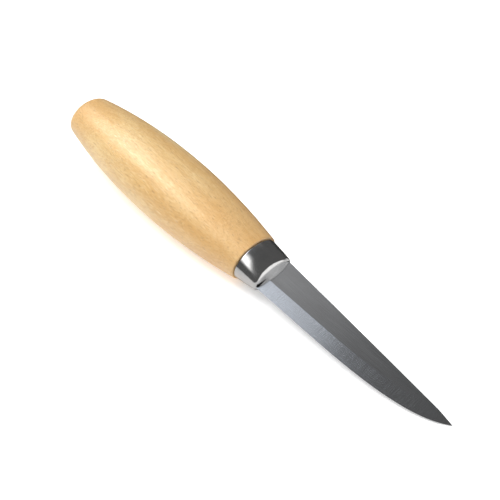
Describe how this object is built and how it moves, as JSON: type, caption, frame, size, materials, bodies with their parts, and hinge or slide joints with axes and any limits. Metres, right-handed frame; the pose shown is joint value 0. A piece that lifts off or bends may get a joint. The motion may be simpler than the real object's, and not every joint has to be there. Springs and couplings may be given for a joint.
{
  "type": "chip carving knife",
  "caption": "Chip carving knife: oval wooden barrel handle, tapered steel ferrule and a straight-backed fixed blade with wide flat bevels on both sides.",
  "frame": {"origin": "centre of the ferrule's front face, where the blade leaves the handle", "axes": "+X along the knife to the tip, +Y from the cutting edge towards the spine, +Z through the blade's thickness; the knife lies on its side"},
  "size_m": [0.1884, 0.029, 0.0248],
  "materials": {
    "handle_wood": "oiled birch, satin",
    "ferrule_steel": "polished stainless",
    "blade_steel": "ground and finely brushed carbon steel",
    "cured_resin": "cured resin"
  },
  "bodies": {
    "root": {"handle": "handle_wood", "ferrule": "ferrule_steel", "blade": "blade_steel", "tang_adhesive": "cured_resin"}
  },
  "joints": []
}
